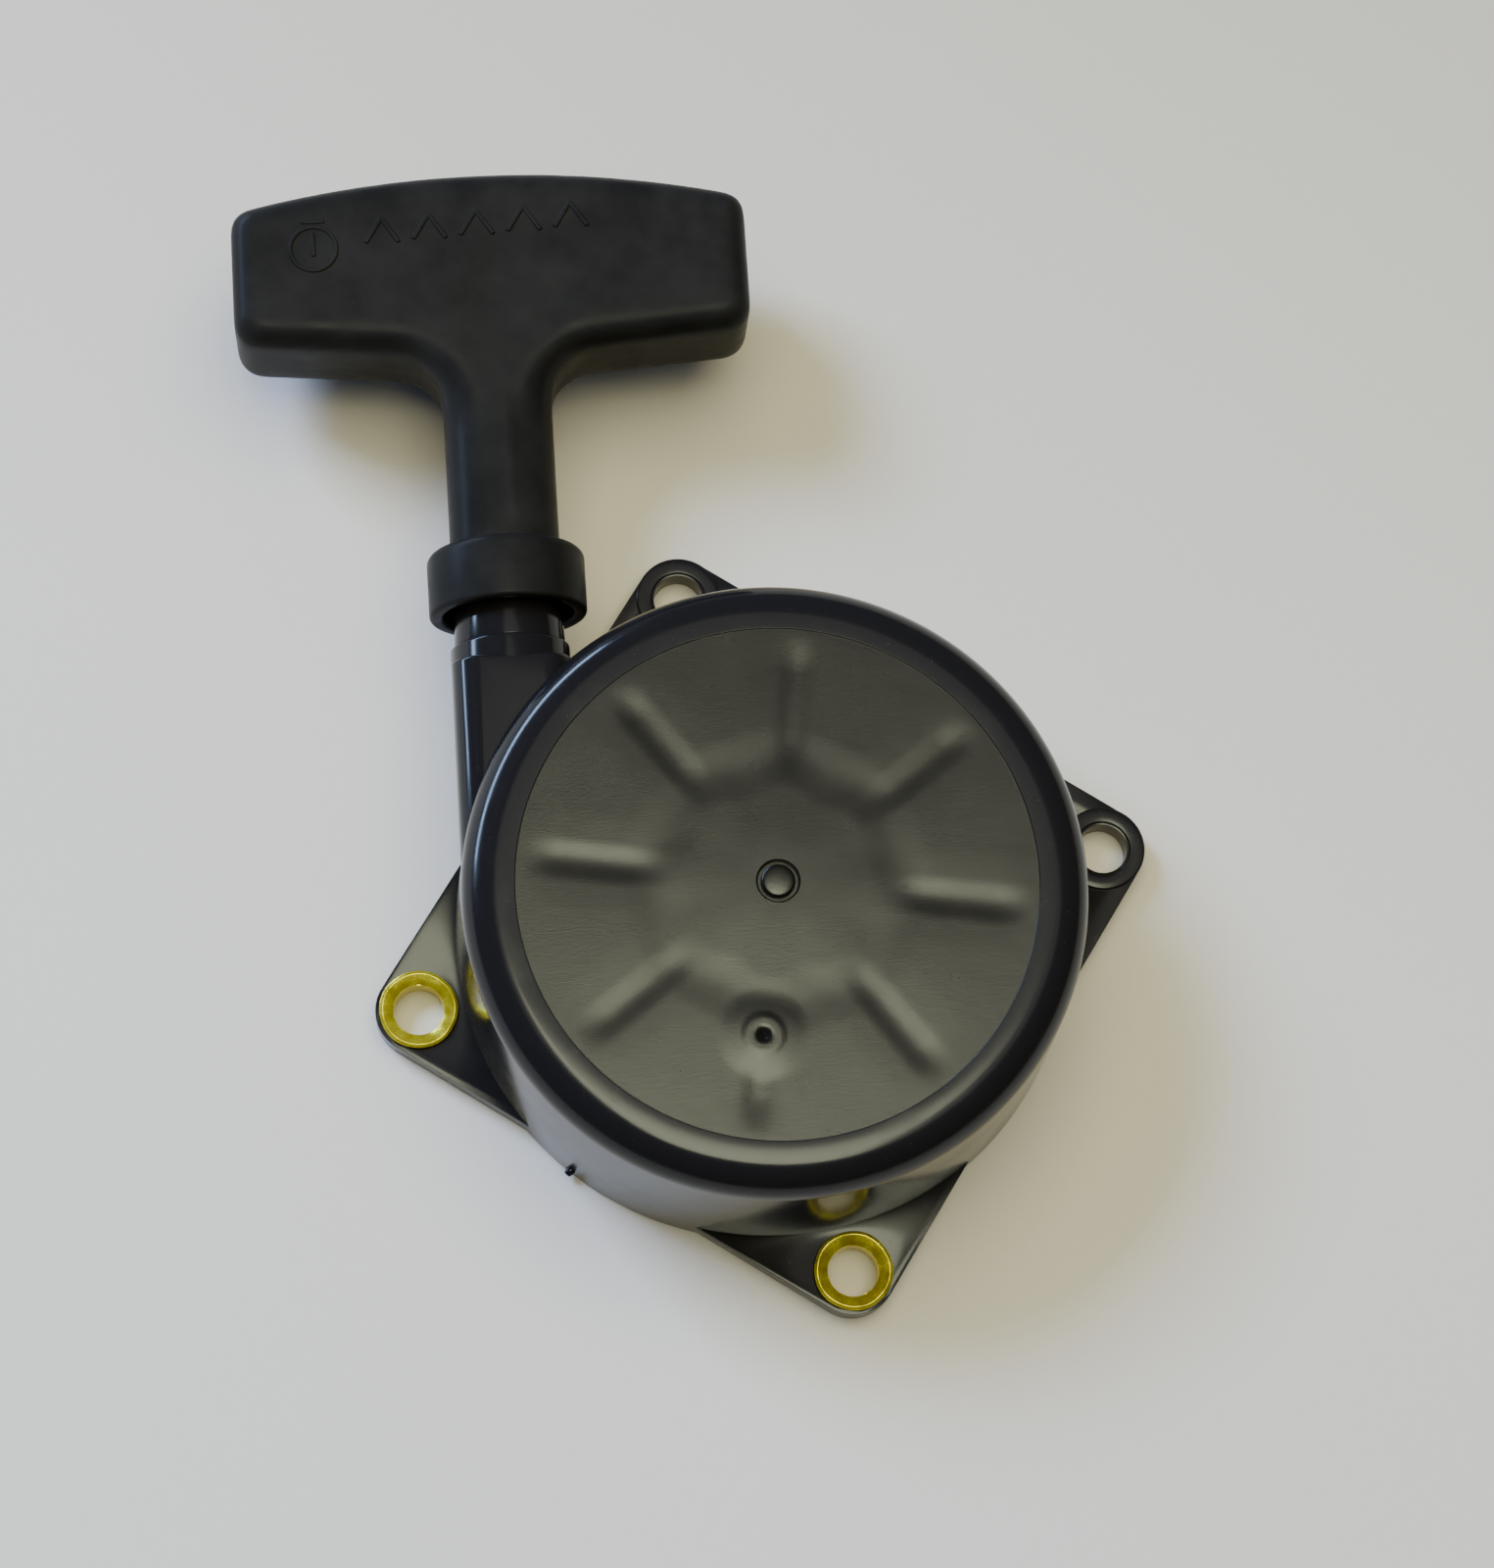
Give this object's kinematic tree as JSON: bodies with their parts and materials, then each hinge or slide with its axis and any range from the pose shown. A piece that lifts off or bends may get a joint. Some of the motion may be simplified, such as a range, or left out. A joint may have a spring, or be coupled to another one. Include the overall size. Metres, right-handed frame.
{
  "type": "recoil starter",
  "caption": "Pull starter for a small two-stroke engine: round black casing on a square flange, with a T handle on a rope, a sprung reel and two pawls.",
  "frame": {"origin": "centre of the square of mounting holes, on the mounting face", "axes": "+Z from the engine towards the cover, +Y the way the rope is pulled, X across"},
  "size_m": [0.1245, 0.1605, 0.0333],
  "materials": {
    "case_plastic": "polished moulding, black",
    "handle_plastic": "satin black, lightly worn",
    "reel_plastic": "moulded nylon, dark grey",
    "brass": "yellow plated, turned",
    "bronze": "sintered",
    "steel": "ground",
    "zinc_steel": "zinc plated",
    "spring_steel": "blued, oiled",
    "rope": "braided nylon"
  },
  "bodies": {
    "casing": {"starter_case": "case_plastic", "mounting_collars": "brass", "pivot_stud": "steel", "rope_guide": "case_plastic", "recoil_spring": "spring_steel", "spring_cover": "zinc_steel", "spring_cover_screws": "zinc_steel", "centre_washer": "zinc_steel", "centre_screw": "zinc_steel"},
    "reel": {"reel": "reel_plastic", "reel_bush": "bronze", "rope_on_reel": "rope", "reel_knot": "rope", "pawl_pins": "steel", "pawl_spring_a": "spring_steel", "pawl_spring_b": "spring_steel", "friction_spring": "spring_steel"},
    "pawl_guide": {"pawl_guide": "zinc_steel"},
    "pawl_a": {"pawl_a": "steel"},
    "pawl_b": {"pawl_b": "steel"},
    "handle": {"handle_grip": "handle_plastic", "knot_washer": "zinc_steel", "handle_knot": "rope", "rope_run": "rope"}
  },
  "joints": [
    {"name": "handle_pull", "type": "slide", "parent": "casing", "child": "handle", "axis": [0, 1, 0], "range_m": [0, 0.616], "stiffness_N_per_m": 22.7, "springref_m": -0.35, "deforming": ["rope_run"]},
    {"name": "reel_turn", "type": "hinge", "parent": "casing", "child": "reel", "pos_m": [0, 0, 0.019], "axis": [0, 0, 1], "range_deg": [-1300, 0], "deforming": ["recoil_spring", "rope_on_reel"]},
    {"name": "guide_turn", "type": "hinge", "parent": "reel", "child": "pawl_guide", "pos_m": [0, 0, 0.0062], "axis": [0, 0, 1], "range_deg": [0, 20], "stiffness_Nm_per_rad": 0.005, "springref_deg": -11.46},
    {"name": "pawl_a_swing", "type": "hinge", "parent": "reel", "child": "pawl_a", "pos_m": [0, 0.0135, 0.009], "axis": [0, 0, 1], "range_deg": [0, 35.1], "deforming": ["pawl_spring_a"]},
    {"name": "pawl_b_swing", "type": "hinge", "parent": "reel", "child": "pawl_b", "pos_m": [0, -0.0135, 0.009], "axis": [0, 0, 1], "range_deg": [0, 35.1], "deforming": ["pawl_spring_b"]}
  ],
  "couplings": [
    {"joint": "reel_turn", "follows": "handle_pull", "rad_per_m": -36.72},
    {"joint": "pawl_a_swing", "follows": "guide_turn", "ratio": 1.75},
    {"joint": "pawl_b_swing", "follows": "guide_turn", "ratio": 1.75}
  ]
}
